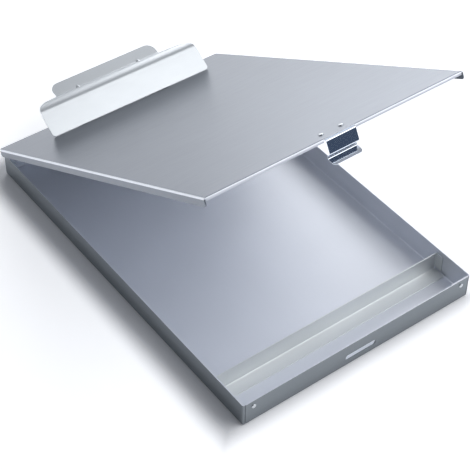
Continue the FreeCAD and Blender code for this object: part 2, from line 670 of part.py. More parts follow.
def make_clip_base():
    """The clip's base plate with two ears that hold its pin."""
    body = new_body("clip_base", on_lid=True)
    low, high = "pivot_y - base_depth / 2", "pivot_y + base_depth / 2"
    plate = sketch_on(body, "XY_Plane", "lid_top")
    rectangle(plate, "-base_width / 2", "base_width / 2", low, high)
    pad(body, plate, "base_sheet")
    half = value("base_width / 2")
    corners = [(x * half, value(y)) for x in (-1, 1) for y in (low, high)]
    round_edges(body, "base_corner", lambda edge: passes(edge, 2, corners))

    ear = sketch_on(body, "YZ_Plane", "base_width / 2 - base_sheet")
    rectangle(ear, "pivot_y - ear_width / 2", "pivot_y + ear_width / 2", "lid_top", "pivot_z + ear_crown")
    mirror(body, [pad(body, ear, "base_sheet")], "YZ_Plane")
    crown = value("pivot_z + ear_crown")
    tops = [(value(f"pivot_y + {sign} * ear_width / 2"), crown) for sign in (-1, 1)]
    round_edges(body, "ear_round", lambda edge: passes(edge, 0, tops))
    inside = [(sign * value("base_width / 2 - base_sheet"), value("lid_top + base_sheet")) for sign in (-1, 1)]
    round_edges(body, "base_bend", lambda edge: passes(edge, 1, inside))

    bore = sketch_on(body, "YZ_Plane")
    circle(bore, "pivot_y", "pivot_z", "pivot_radius + pin_play")
    pocket(body, bore, "base_width + overrun", symmetric=True)
    holes = sketch_on(body, "XY_Plane", "lid_top + base_sheet")
    for across, up in base_rivet_places():
        circle(holes, across, up, "hole_radius")
    pocket(body, holes, "base_sheet + overrun")


def make_clip_jaw():
    """The jaw: one sheet with the pressing face, the rounded top and the thumb tab with two gussets."""
    body = new_body("clip_jaw", on_lid=True)
    profile = sketch_on(body, "YZ_Plane")
    corners = [("lid_back - toe_back", "lid_top + toe_lift"), ("ridge_y", "ridge_z"),
               ("crease_y", "crease_z"), ("lid_back - tip_back", "lid_top + tip_height")]
    toe, ridge, crease, tip = bent_sheet(profile, corners, "clip_sheet")
    pad(body, profile, "jaw_width", symmetric=True)
    round_bend(body, ridge, "(ridge_bend - clip_sheet)", "clip_sheet")
    round_bend(body, crease, "crease_bend", "clip_sheet")

    wing = sketch_on(body, "XY_Plane", "lid_top + tip_height + overrun")
    past = "jaw_width / 2 + overrun"
    behind_slant(wing, ("jaw_width / 2 - wing_round", "wing_y"), "wing_round",
                 [("tab_width / 2", "crease_y"), ("tab_width / 2", "lid_back + overrun"),
                  (past, "lid_back + overrun"), (past, "wing_y")])
    mirror(body, [pocket(body, wing, "tip_height")], "YZ_Plane")
    tip_ends = end_edges(tip, value("tab_width / 2"))
    round_edges(body, "tab_round", lambda edge: joins(edge, tip_ends))
    toe_ends = end_edges(toe, value("jaw_width / 2"))
    round_edges(body, "toe_round", lambda edge: joins(edge, toe_ends))

    gusset = sketch_on(body, "YZ_Plane", "gusset_place - gusset_width / 2")
    front = ("crease_y - gusset_reach", "crease_z + gusset_reach * jaw_slope")
    back = ("crease_y + gusset_reach", "crease_z + gusset_reach * tab_slope")
    polygon(gusset, [front, ("crease_y", "crease_z - clip_sheet / 2"), back])
    mirror(body, [pad(body, gusset, "gusset_width")], "YZ_Plane")


def make_jaw_bracket(label, side):
    """A bracket under the jaw: an ear on the pin and a flange against the jaw's underside."""
    body = new_body(label, on_lid=True)
    leftwards = side < 0
    front, back = "lid_back - flange_front", "lid_back - flange_back"
    ear = sketch_on(body, "YZ_Plane", f"{side} * bracket_inner")
    polygon(ear, [("pivot_y - bracket_width / 2", "pivot_z - bracket_crown"),
                  ("pivot_y - bracket_width / 2", "pivot_z + bracket_crown"),
                  (front, "flange_front_z"), (back, "flange_back_z"),
                  ("pivot_y + bracket_width / 2", "pivot_z - bracket_crown")])
    pad(body, ear, "base_sheet", backwards=leftwards)
    flange = sketch_on(body, "YZ_Plane", f"{side} * (bracket_inner + base_sheet)")
    polygon(flange, [(front, "flange_front_z - flange_drop"), (front, "flange_front_z"),
                     (back, "flange_back_z"), (back, "flange_back_z - flange_drop")])
    pad(body, flange, "bracket_flange + base_sheet", backwards=not leftwards)
    bore = sketch_on(body, "YZ_Plane", f"{side} * (bracket_inner + base_sheet)")
    circle(bore, "pivot_y", "pivot_z", "pivot_radius + pin_play")
    pocket(body, bore, "base_sheet + overrun", backwards=leftwards)


def make_clip_pin():
    body = new_body("clip_pin", on_lid=True)
    shank = sketch_on(body, "YZ_Plane")
    circle(shank, "pivot_y", "pivot_z", "pivot_radius")
    pad(body, shank, "base_width", symmetric=True)
    head = sketch_on(body, "YZ_Plane", "base_width / 2")
    circle(head, "pivot_y", "pivot_z", "pivot_head")
    mirror(body, [pad(body, head, "pivot_head_height")], "YZ_Plane")
    end = value("base_width / 2 + pivot_head_height")
    rim = value("pivot_head")
    round_edges(body, "tail_round", lambda edge: any(is_rim(edge, 0, x, rim) for x in (-end, end)))


def biarc(start, start_way, end, end_way):
    """Two arcs that meet smoothly and follow the given directions at both ends."""
    span, ways = end - start, start_way + end_way
    a, b, c = 2 * (start_way.dot(end_way) - 1), -2 * span.dot(ways), span.dot(span)
    reach = (-b - math.sqrt(b * b - 4 * a * c)) / (2 * a)
    joint = (start + start_way * reach + end - end_way * reach) / 2
    return [arc(start, joint, start_way), arc(end, joint, end_way * -1)]


def arc(start, end, way):
    """The arc that leaves start along way and comes to end."""
    chord = end - start
    along = Vector(chord).normalize()
    turn = math.acos(way.dot(along))
    aside = (way - along * way.dot(along)).normalize()
    middle = start + chord / 2 + aside * (chord.Length / 2 * math.tan(turn / 2))
    return Part.Arc(start, middle, end).toShape()


def coil_point(radius, pitch, turn):
    """A point of the coil about the X axis, and the way the wire runs there."""
    point = Vector(pitch * turn / (2 * math.pi), radius * math.cos(turn), radius * math.sin(turn))
    way = Vector(pitch / (2 * math.pi), -radius * math.sin(turn), radius * math.cos(turn))
    return point, way.normalize()


def spring_path():
    """The right spring's centre line: upper leg, coil from the inside out, lower leg."""
    radius, pitch, wire = value("spring_radius"), value("spring_pitch"), value("spring_wire")
    rise, drop = math.radians(value("leg_rise")), math.radians(value("leg_drop"))
    first = math.pi / 2 + rise
    last = 2 * math.pi * SPRING_TURNS - math.pi / 2 - drop
    count = ARCS_PER_TURN * SPRING_TURNS
    stations = [coil_point(radius, pitch, first + (last - first) * i / count) for i in range(count + 1)]
    middle = (stations[0][0].x + stations[-1][0].x) / 2
    move = Vector(value("spring_place") - middle, value("pivot_y"), value("pivot_z"))
    stations = [(point + move, way) for point, way in stations]

    stand_off = value("clearance") + wire
    slope = math.atan(value("jaw_slope"))
    across = Vector(0, math.sin(slope), math.cos(slope))
    under_jaw = Vector(0, value("ridge_y"), value("ridge_z - jaw_drop"))
    top, top_way = stations[0]
    top_way = top_way * -1
    climb = ((under_jaw - top).dot(across) - stand_off) / top_way.dot(across)
    foot, foot_way = stations[-1]
    fall = (foot.z - value("lid_top + base_sheet") - stand_off) / -foot_way.z
    points = [top + top_way * climb] + [point for point, way in stations] + [foot + foot_way * fall]
    edges = [Part.LineSegment(points[0], points[1]).toShape()]
    for (a, a_way), (b, b_way) in zip(stations, stations[1:]):
        edges += biarc(a, a_way, b, b_way)
    edges.append(Part.LineSegment(points[-2], points[-1]).toShape())
    return edges


def self_gap(edges, wire):
    """Smallest open space between two passes of the wire, measured on points along its centre line."""
    samples = []
    travelled = 0
    for edge in edges:
        count = max(2, math.ceil(edge.Length / wire))
        for i in range(count):
            distance = edge.Length * i / count
            samples.append((travelled + distance, edge.valueAt(edge.getParameterByLength(distance))))
        travelled += edge.Length
    apart = 2 * math.pi * wire
    return min((a - b).Length for s, a in samples for t, b in samples if t - s > apart) - 2 * wire


def make_springs():
    """Two torsion springs on the clip pin, the left one a mirror image of the right one."""
    edges = spring_path()
    wire = value("spring_wire")
    start, way = edges[0].Vertexes[0].Point, edges[0].tangentAt(edges[0].FirstParameter)
    profile = Part.Wire([Part.Circle(start, way, wire).toShape()])
    sweep = Part.BRepOffsetAPI.MakePipeShell(Part.Wire(edges))
    sweep.add(profile)
    sweep.build()
    sweep.makeSolid()
    right = sweep.shape()
    left = right.mirror(Vector(), Vector(1, 0, 0))
    print(f"clip spring: turn {value('spring_pitch')} mm, self-gap {self_gap(edges, wire):.2f} mm")
    for label, shape in (("clip_spring_left", left), ("clip_spring_right", right)):
        spring = doc.addObject("Part::Feature", label)
        spring.Label = label
        spring.Shape = shape
        NODES.append(spring)
        place_on_lid(spring)


def make_latch_foot():
    """The latch's foot, flat under the lid."""
    body = new_body("latch_foot", on_lid=True)
    strip = sketch_on(body, "XY_Plane", "lid_under")
    rectangle(strip, "-latch_width / 2", "latch_width / 2", "lid_front", "lid_front + latch_foot")
    pad(body, strip, "latch_sheet", backwards=True)
    holes = sketch_on(body, "XY_Plane", "lid_under")
    for across, up in latch_rivet_places():
        circle(holes, across, up, "hole_radius")
    pocket(body, holes, "latch_sheet + overrun")


def make_latch_leaf():
    """The latch's leaf: bend, face, the nose that snaps into the slot, and the thumb lip."""
    body = new_body("latch_leaf", on_lid=True)
    profile = sketch_on(body, "YZ_Plane")
    corners = [("latch_y - lip_reach", "lid_top - lip_drop"),
               ("latch_y + nose_depth", "lid_top - nose_bottom"),
               ("latch_y + nose_depth", "lid_top - nose_top"),
               ("latch_y", "lid_top - latch_face"), ("latch_y", "lid_under"),
               ("latch_y + 2 * latch_bend", "lid_under")]
    lip, nose_low, nose_high, face, bend, end = bent_sheet(profile, corners, "latch_sheet")
    pad(body, profile, "latch_width", symmetric=True)
    for pair in (nose_low, nose_high, face):
        round_bend(body, pair, "nose_round", "latch_sheet")
    round_bend(body, bend, "(latch_bend - latch_sheet)", "latch_sheet")
    lip_ends = end_edges(lip, value("latch_width / 2"))
    round_edges(body, "lip_round", lambda edge: joins(edge, lip_ends))
    split = sketch_on(body, "XY_Plane", "lid_under + overrun")
    rectangle(split, "-latch_width / 2 - overrun", "latch_width / 2 + overrun",
              "lid_front - latch_split", "lid_front + latch_foot")
    pocket(body, split, "overrun + latch_bend")


def check_and_write():
    """Every object is whole and every solid is sound before a file is written."""
    doc.recompute()
    for thing in doc.Objects:
        if {"Invalid", "Error"} & set(thing.State):
            raise RuntimeError(f"{thing.Label}: {thing.State}")
    for node in NODES:
        if node.Shape.isNull() or not node.Shape.isValid() or not node.Shape.Solids:
            raise RuntimeError(f"{node.Label}: no sound solid")
    for node in NODES:
        print(f"{node.Label}: {len(node.Shape.Solids)} solids, {node.Shape.Volume:.1f} mm3")
        node.Shape.exportStep(f"parts/{node.Label}.step")


make_tray()
make_divider()
rivet_group("front_corner_rivets", "XZ_Plane", "tray_length / 2", 1, "2 * sheet",
            sides("(tray_width / 2 - corner_rivet_inset)", "corner_rivet_height"))
rivet_group("rear_corner_rivets", "XZ_Plane", "-tray_length / 2", -1, "2 * sheet",
            sides("(tray_width / 2 - corner_rivet_inset)", "corner_rivet_height"))
make_leaf("hinge_leaf_tray", "0", "leaf_depth_tray", 0, KNUCKLES // 2 + 1, TRAY_HINGE_RIVETS,
          "hinge_rivet_height - hinge_z")
make_leaf("hinge_leaf_lid", "90 + lid_open", "leaf_depth_lid", 1, KNUCKLES // 2, LID_HINGE_RIVETS,
          "lid_back - hinge_rivet_inset")
make_hinge_pin()
rivet_group("tray_hinge_rivets", "XZ_Plane", "-tray_length / 2 - hinge_sheet", -1, "sheet + hinge_sheet",
            hinge_rivet_places(TRAY_HINGE_RIVETS, "hinge_rivet_height"))
rivet_group("lid_hinge_rivets", "XY_Plane", "lid_top", 1, "sheet + hinge_sheet",
            lid_hinge_rivet_places(), on_lid=True)
make_lid_panel()
make_clip_base()
rivet_group("clip_base_rivets", "XY_Plane", "lid_top + base_sheet", 1, "base_sheet + sheet",
            base_rivet_places(), on_lid=True)
make_clip_jaw()
make_jaw_bracket("jaw_bracket_left", -1)
make_jaw_bracket("jaw_bracket_right", 1)
make_clip_pin()
make_springs()
make_latch_foot()
make_latch_leaf()
rivet_group("latch_rivets", "XY_Plane", "lid_top", 1, "sheet + latch_sheet",
            latch_rivet_places(), on_lid=True)
check_and_write()
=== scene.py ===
import json
import math

import bmesh
import bpy
from bpy.props import FloatProperty, FloatVectorProperty, PointerProperty
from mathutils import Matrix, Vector


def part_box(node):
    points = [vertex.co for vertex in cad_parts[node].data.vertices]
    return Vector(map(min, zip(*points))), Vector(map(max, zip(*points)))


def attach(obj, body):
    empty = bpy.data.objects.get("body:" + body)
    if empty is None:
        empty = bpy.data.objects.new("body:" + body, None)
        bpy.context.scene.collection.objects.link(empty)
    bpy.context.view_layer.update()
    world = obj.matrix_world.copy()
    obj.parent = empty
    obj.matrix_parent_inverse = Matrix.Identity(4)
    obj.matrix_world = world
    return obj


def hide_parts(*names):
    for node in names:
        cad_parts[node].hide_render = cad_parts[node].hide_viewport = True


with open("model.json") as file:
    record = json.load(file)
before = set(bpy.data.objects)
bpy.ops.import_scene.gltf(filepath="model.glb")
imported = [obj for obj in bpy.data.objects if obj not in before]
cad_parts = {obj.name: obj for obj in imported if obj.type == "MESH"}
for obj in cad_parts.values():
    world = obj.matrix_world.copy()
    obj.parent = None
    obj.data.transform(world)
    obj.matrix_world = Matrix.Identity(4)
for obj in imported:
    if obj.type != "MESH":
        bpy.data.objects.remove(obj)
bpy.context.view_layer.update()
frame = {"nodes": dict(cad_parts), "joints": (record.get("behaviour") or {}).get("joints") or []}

bl_info = {
    "name": "Storage Clipboard Box",
    "version": (1, 0, 0),
    "blender": (4, 5, 0),
    "location": "3D View > Sidebar > Clipboard Box",
    "description": "Dresses a sheet-metal clipboard box with its finished pieces, metals and studio",
    "category": "Object",
}

# One millimetre in metres.
MM = 0.001
# The lid's hinge pin. Pieces of the lid are modelled level, with their origin on it, then turned open.
HINGE = Vector(next(joint["pos_m"] for joint in frame["joints"] if joint["name"] == "lid_hinge"))
TRAY_LOW, TRAY_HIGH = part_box("tray")
# The tray's corners, as signs of X and Y.
CORNERS = [(across, along) for across in (-1, 1) for along in (-1, 1)]
# Two places closer than this are the same when a vertex, edge or face is picked.
NEAR = 0.003 * MM
# Left between a cut, or the edge of a finish, and the start of a bend.
MARGIN = 0.1 * MM
# Faces of a bend meet at less than the first angle, and faces at a cut edge at more than the second.
BEND_ANGLE = math.radians(32)
CUT_ANGLE = math.radians(40)


def linear(hex_colour):
    """An sRGB hex colour as the linear red, green, blue and alpha that a shader takes."""
    shares = [int(hex_colour[i:i + 2], 16) / 255 for i in (1, 3, 5)]
    return tuple(s / 12.92 if s <= 0.04045 else ((s + 0.055) / 1.055) ** 2.4 for s in shares) + (1.0,)


def length(name, millimetres, description):
    return FloatProperty(name=name, description=description, default=millimetres * MM, min=0.0,
                         precision=5, subtype="DISTANCE", unit="LENGTH")


def angle(name, degrees, description):
    return FloatProperty(name=name, description=description, default=math.radians(degrees),
                         subtype="ANGLE", unit="ROTATION")


def colour(name, hex_colour, description):
    return FloatVectorProperty(name=name, description=description, default=linear(hex_colour), size=4,
                               min=0.0, max=1.0, subtype="COLOR")


def amount(name, default, description):
    return FloatProperty(name=name, description=description, default=default, min=0.0, max=1.0,
                         subtype="FACTOR")


class TraySizes(bpy.types.PropertyGroup):
    width: length("Width", (TRAY_HIGH.x - TRAY_LOW.x) / MM, "Outside width of the tray")
    depth: length("Depth", (TRAY_HIGH.y - TRAY_LOW.y) / MM, "Outside length of the tray, front to hinge")
    height: length("Height", (TRAY_HIGH.z - TRAY_LOW.z) / MM, "Height of the walls")
    sheet: length("Sheet", 1.0, "Thickness of the folded sheet")
    bend: length("Bend", 2.2, "Outside radius where walls meet the floor and each other")
    rim: length("Rim", 0.2, "Softened edge of the cut sheet")
    slot_length: length("Slot length", 32.6, "Latch slot in the front wall")
    slot_height: length("Slot height", 5.8, "Latch slot in the front wall")
    slot_middle: length("Slot middle", 10.0, "Middle of the latch slot above the underside")
    seam_inset: length("Seam inset", 2.25, "Corner seam from the side of the tray")
    seam_gap: length("Seam gap", 0.5, "Width of the open corner seam")
    seam_foot: length("Seam foot", 3.5, "Lower end of the corner seam")
    tab_length: length("Tab length", 19.0, "Corner tab behind the front and back walls")
    tab_foot: length("Tab foot", 2.5, "Lower edge of a corner tab")
    tab_drop: length("Tab drop", 0.8, "Corner tab below the rim")


class DividerSizes(bpy.types.PropertyGroup):
    face: length("Face", 40.5, "Front face of the divider from the front of the tray")
    height: length("Height", 20.0, "Top of the divider above the underside")
    foot: length("Foot", 13.0, "Foot on the floor in front of the divider")
    lip: length("Lip", 3.8, "Low strip in the finger gap")
    gap_top: length("Gap top", 96.0, "Finger gap at the top")
    gap_bottom: length("Gap bottom", 83.0, "Finger gap at the lip")
    tab: length("Tab", 9.0, "End tab along the side wall")
    bend: length("Bend", 1.2, "Radius of the fold at the foot, on its front side")
    tab_bend: length("Tab bend", 0.4, "Radius of the folds of the end tabs, on their front side")
    play: length("Play", 0.3, "Gap from the foot to the rounding under the side walls")
    corner: length("Corner", 1.5, "Rounded top corner beside the gap")


class LidSizes(bpy.types.PropertyGroup):
    opening: angle("Opening", 29.5, "How far the lid stands open")
    width: length("Width", 252.0, "Outside width of the lid")
    top: length("Top", 3.2, "Writing face above the hinge pin with the lid level")
    back: length("Back", 2.5, "Back edge of the lid in front of the hinge pin")
    front: length("Front", 379.0, "Front edge of the lid in front of the hinge pin")
    sheet: length("Sheet", 1.0, "Thickness of the lid")
    flange: length("Flange", 7.2, "Height of the side flanges")
    fold: length("Fold", 1.6, "Outside radius of the side folds")
    hem: length("Hem", 3.0, "Depth of the front hem")
    hem_fold: length("Hem fold", 1.5, "Outside radius of the front hem")
    notch: length("Notch", 31.0, "Notch of the hem at the latch")
    round_back: length("Back round", 5.5, "Lower back corner of a flange")
    round_front: length("Front round", 1.8, "Lower front corner of a flange")
    clipped: length("Clipped corner", 2.5, "Clipped back corner of the board")
    edge: length("Edge", 0.15, "Softened edge of the cut sheet")


class ClipSizes(bpy.types.PropertyGroup):
    sheet: length("Sheet", 0.9, "Thickness of the clip")
    width: length("Width", 175.0, "Width of the jaw")
    toe_back: length("Toe back", 45.2, "Toe from the lid's back edge")
    toe_height: length("Toe height", 0.71, "Toe's outer edge above the lid")
    ridge_back: length("Ridge back", 29.7, "Ridge from the lid's back edge")
    ridge_height: length("Ridge height", 30.2, "Ridge above the lid")
    ridge_bend: length("Ridge bend", 11.0, "Outside radius of the ridge")
    crease_back: length("Crease back", 10.9, "Crease from the lid's back edge")
    crease_height: length("Crease height", 26.8, "Crease above the lid")
    crease_bend: length("Crease bend", 2.0, "Inside radius of the crease")
    tip_back: length("Tip back", 0.2, "Thumb tab's edge from the lid's back edge")
    tip_height: length("Tip height", 36.2, "Thumb tab's edge above the lid")
    tab_width: length("Tab width", 116.0, "Width of the thumb tab")
    tab_round: length("Tab round", 8.5, "Rounded corners of the thumb tab")
    toe_round: length("Toe round", 3.0, "Rounded corners of the toe")
    wing_back: length("Wing back", 36.7, "Middle of a wing's rounding from the lid's back edge")
    wing_round: length("Wing round", 11.0, "Rounded outer corner of a wing beside the thumb tab")
    edge: length("Edge", 0.15, "Softened edge of the cut sheet")
    gusset_place: length("Gusset place", 34.0, "Gusset from the middle of the clip")
    gusset_width: length("Gusset width", 2.0, "Half width of a pressed gusset")
    gusset_reach: length("Gusset reach", 4.2, "Reach of a pressed gusset to each side of the crease")
    gusset_rise: length("Gusset rise", 1.6, "Rise of a pressed gusset out of the crease")


class LatchSizes(bpy.types.PropertyGroup):
    sheet: length("Sheet", 0.6, "Thickness of the spring")
    width: length("Width", 29.0, "Width of the latch")
    reach: length("Reach", 1.4, "Face in front of the lid")
    split: length("Split", 0.4, "End of the leaf inside its upper bend, in front of the lid")
    under: length("Under", 1.0, "Top of the latch below the writing face")
    fold: length("Fold", 1.6, "Outside radius of the upper bend")
    face: length("Face", 13.0, "Lower end of the face below the writing face")
    nose_depth: length("Nose depth", 4.35, "Nose behind the face")
    nose_top: length("Nose top", 15.7, "Nose below the writing face")
    nose_bottom: length("Nose bottom", 17.2, "Nose below the writing face")
    nose_round: length("Nose round", 0.9, "Radius of the nose's bends")
    lip_reach: length("Lip reach", 1.9, "Lip in front of the face")
    lip_drop: length("Lip drop", 21.6, "Lip below the writing face")
    lip_round: length("Lip round", 3.0, "Rounded corners of the lip")
    edge: length("Edge", 0.1, "Softened edge of the cut sheet")


class Finishes(bpy.types.PropertyGroup):
    lid: colour("Lid", "#898e96", "Clear anodised aluminium of the lid")
    lid_roughness: amount("Lid roughness", 0.33, "How matte the lid is")
    tray: colour("Tray", "#898f94", "Grey anodised aluminium of the tray")
    tray_roughness: amount("Tray roughness", 0.48, "How matte the tray is")
    # Inside is a lighter copy of the tray's and lid's aluminium: painted light on the inner faces, rim, lid
    # folds, hem and underside.
    inside: colour("Inside", "#eceff5", "Clear anodised aluminium inside the tray and under the lid")
    painted_light_roughness: amount("Inside roughness", 0.5, "How matte the inside is")
    divider: colour("Divider", "#eceff0", "Clear anodised aluminium of the divider")
    divider_roughness: amount("Divider roughness", 0.6, "How matte the divider is")
    clip: colour("Clip", "#cfd3d6", "Bright nickel plate of the clip")
    clip_roughness: amount("Clip roughness", 0.4, "How matte the clip is")
    chrome: colour("Chrome", "#d4dae2", "Chrome plate of the latch")
    rivet: colour("Rivet", "#c6cace", "Plain aluminium of the rivets")
    zinc: colour("Zinc", "#b9bcc0", "Zinc plate of hinge and clip base")
    wire: colour("Wire", "#8d8f92", "Drawn steel of pins and springs")
    floor: colour("Floor", "#f4f5f7", "Pale studio floor")


def deselect():
    """Leave nothing selected, so that an operator acts on the new piece alone."""
    if bpy.context.mode != "OBJECT":
        bpy.ops.object.mode_set(mode="OBJECT")
    bpy.ops.object.select_all(action="DESELECT")


def choose(piece, others=()):
    """Select a piece, and any others with it, and make it the active one."""
    deselect()
    for other in others:
        other.select_set(True)
    piece.select_set(True)
    bpy.context.view_layer.objects.active = piece


def name_piece(name):
    """Name the primitive just added, and put its place, turn and size into its mesh."""
    piece = bpy.context.object
    piece.name = name
    piece.data.name = name
    bpy.ops.object.transform_apply(location=True, rotation=True, scale=True)
    return piece


def plane(name, across, along, middle, turn=0.0):
    """A flat sheet, turned about X from level, that the other folds grow from."""
    deselect()
    bpy.ops.mesh.primitive_plane_add(size=1, location=middle, rotation=(turn, 0, 0))
    bpy.context.object.scale = (across, along, 1)
    return name_piece(name)


def block(name, low, high):
    """A box between two corners, to be folded, cut out or joined."""
    deselect()
    low, high = Vector(low), Vector(high)
    bpy.ops.mesh.primitive_cube_add(size=1, location=(low + high) / 2)
    bpy.context.object.scale = high - low
    return name_piece(name)


def edit(piece):
    choose(piece)
    bpy.ops.object.mode_set(mode="EDIT")


def at(value, place):
    return abs(value - place) < NEAR


def on_line(place):
    """A test for points on the line along X through a place."""
    return lambda p: at(p.y, place.y) and at(p.z, place.z)


def anywhere(point):
    """A test that every point passes."""
    return True


def pick(piece, kind, test):
    """In edit mode, select only the vertices, edges or faces whose points all pass the test."""
    bpy.ops.mesh.select_mode(type=kind)
    bpy.ops.mesh.select_all(action="DESELECT")
    mesh = bmesh.from_edit_mesh(piece.data)
    found = 0
    for part in {"VERT": mesh.verts, "EDGE": mesh.edges, "FACE": mesh.faces}[kind]:
        points = [part.co] if kind == "VERT" else [vertex.co for vertex in part.verts]
        if all(test(point) for point in points):
            part.select_set(True)
            found += 1
    bmesh.update_edit_mesh(piece.data)
    if not found:
        raise RuntimeError(f"{piece.name}: nothing to pick")


def pick_edges(piece, test):
    """In edit mode, select only the edges whose two ends together pass the test."""
    pick(piece, "EDGE", anywhere)
    mesh = bmesh.from_edit_mesh(piece.data)
    for edge in mesh.edges:
        edge.select_set(test(*(vertex.co for vertex in edge.verts)))
    bmesh.update_edit_mesh(piece.data)


def fold_out(piece, test, run):
    """Extrude the picked edges along a run, as the next flat of the folded sheet."""
    pick(piece, "EDGE", test)
    bpy.ops.mesh.extrude_region_move(TRANSFORM_OT_translate={"value": run})


def bevel(offset, steps, affect="EDGES"):
    """Round the selected edges or corners."""
    bpy.ops.mesh.bevel(offset=offset, offset_type="OFFSET", segments=steps, profile=0.5, affect=affect,
                       clamp_overlap=False)


def bend(piece, test, radius, turn=math.pi / 2, steps=6):
    """Round a fold: the offset is the length of the arc's tangent."""
    pick(piece, "EDGE", test)
    bevel(radius * math.tan(turn / 2), steps)


def round_off(piece, test, radius, steps=6):
    """Round corners in the flat of the sheet."""
    pick(piece, "VERT", test)
    bevel(radius, steps, affect="VERTICES")


def cut_line(place, normal, clear=False):
    """Score what is selected along a plane, or cut away what lies on the normal's side."""
    bpy.ops.mesh.bisect(plane_co=place, plane_no=normal, use_fill=False, clear_outer=clear,
                        clear_inner=False)


def apply_modifier(piece, kind, **settings):
    choose(piece)
    modifier = piece.modifiers.new(kind.title(), kind)
    for name, setting in settings.items():
        setattr(modifier, name, setting)
    bpy.ops.object.modifier_apply(modifier=modifier.name)


def thicken(piece, sheet):
    """Turn the normals outwards, then give the sheet its thickness behind the modelled side."""
    edit(piece)
    bpy.ops.mesh.select_all(action="SELECT")
    bpy.ops.mesh.normals_make_consistent(inside=False)
    apply_modifier(piece, "SOLIDIFY", thickness=sheet, offset=-1.0, use_even_offset=True)


def soften(piece, width):
    """Take the sharpness off the cut edges."""
    apply_modifier(piece, "BEVEL", width=width, segments=2, limit_method="ANGLE",
                   angle_limit=CUT_ANGLE, use_clamp_overlap=True)


def smooth(piece):
    """Shade the bends smooth and keep the flats flat."""
    choose(piece)
    bpy.ops.object.shade_smooth_by_angle(angle=BEND_ANGLE)
    apply_modifier(piece, "WEIGHTED_NORMAL", keep_sharp=True)


def join(piece, others):
    choose(piece, others)
    bpy.ops.object.join()


def carve(piece, cutters):
    """Cut the joined cutters out of the piece."""
    tool = cutters[0]
    join(tool, cutters[1:])
    apply_modifier(piece, "BOOLEAN", operation="DIFFERENCE", object=tool, solver="EXACT")
    bpy.data.objects.remove(tool)


def turn_open(piece):
    """Turn a piece that was modelled with the lid level to where the lid stands."""
    choose(piece)
    piece.rotation_euler = (-bpy.context.scene.lid_sizes.opening, 0, 0)
    piece.location = HINGE
    bpy.ops.object.transform_apply(location=True, rotation=True, scale=True)


def assign_painted_light(piece, outside, inside, test):
    """Give a sheet its metal, and to the faces that pass the test a lighter copy of that metal, which is
    painted light.
    """
    piece.data.materials.clear()
    piece.data.materials.append(outside)
    piece.data.materials.append(inside)
    edit(piece)
    pick(piece, "FACE", test)
    piece.active_material_index = 1
    bpy.ops.object.material_slot_assign()
    deselect()


def settle(piece, body, node):
    """Smooth a finished piece, give it its body, and hide the CAD node that it stands for."""
    smooth(piece)
    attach(piece, body)
    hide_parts(node)


def dress(nodes, material):
    """Give CAD nodes whose shape is right their metal."""
    for name in nodes:
        for slot in frame["nodes"][name].material_slots:
            slot.material = material


def add_node(tree, kind, settings=(), inputs=()):
    """Add a node with its settings. An input is a value, or another node's output to link."""
    node = tree.nodes.new(kind)
    for name, setting in dict(settings).items():
        setattr(node, name, setting)
    for socket, source in dict(inputs).items():
        if isinstance(source, bpy.types.NodeSocket):
            tree.links.new(source, node.inputs[socket])
        else:
            node.inputs[socket].default_value = source
    return node


def new_material(name):
    """A material with an empty tree and its output."""
    material = bpy.data.materials.new(name)
    material.use_nodes = True
    tree = material.node_tree
    tree.nodes.clear()
    return material, tree, add_node(tree, "ShaderNodeOutputMaterial")


def millimetre_noise(tree, period, detail=2.0):
    """Noise on object coordinates whose period along X, Y and Z is given in millimetres."""
    place = add_node(tree, "ShaderNodeTexCoord").outputs["Object"]
    scale = tuple(1 / (p * MM) for p in period)
    mapping = add_node(tree, "ShaderNodeMapping", inputs={"Vector": place, "Scale": scale})
    noise = add_node(tree, "ShaderNodeTexNoise",
                     inputs={"Vector": mapping.outputs["Vector"], "Scale": 1.0, "Detail": detail})
    return noise.outputs["Fac"]


def spread(tree, source, low, high):
    """Map the middle of a noise, where most of its values lie, to a range."""
    middle = add_node(tree, "ShaderNodeMapRange",
                      inputs={"Value": source, "From Min": 0.3, "From Max": 0.7, "To Min": low,
                              "To Max": high})
    return middle.outputs["Result"]


def ramp(tree, source, start, end, low, high):
    """Map a stretch of a value to a range, with a soft start and end."""
    stretch = add_node(tree, "ShaderNodeMapRange", {"interpolation_type": "SMOOTHSTEP"},
                       {"Value": source, "From Min": start, "From Max": end, "To Min": low, "To Max": high})
    return stretch.outputs["Result"]


def calculate(tree, operation, *values):
    """The result of a math node on one or two values or outputs."""
    return add_node(tree, "ShaderNodeMath", {"operation": operation}, enumerate(values)).outputs[0]


def mix_colours(tree, factor, first, second):
    """Blend two colours. The node's colour sockets share their names with others, so they go by number."""
    mix = add_node(tree, "ShaderNodeMix", {"data_type": "RGBA"}, {"Factor": factor, 6: first, 7: second})
    return mix.outputs[2]


def darker(tint, share):
    """A colour with only a share of its light."""
    return [channel * share for channel in tint[:3]] + [1.0]


def relief(tree, height, strength, depth):
    """A bump from a noise, with its depth in millimetres."""
    bump = add_node(tree, "ShaderNodeBump",
                    inputs={"Strength": strength, "Distance": depth * MM, "Height": height})
    return bump.outputs["Normal"]


def finish_metal(tree, output, tint, matte, normal=None):
    """End a metal's tree with its shader. An even surface has no relief, so no normal."""
    inputs = {"Base Color": tint, "Metallic": 1.0, "Roughness": matte}
    if normal is not None:
        inputs["Normal"] = normal
    shader = add_node(tree, "ShaderNodeBsdfPrincipled", inputs=inputs)
    tree.links.new(shader.outputs["BSDF"], output.inputs["Surface"])


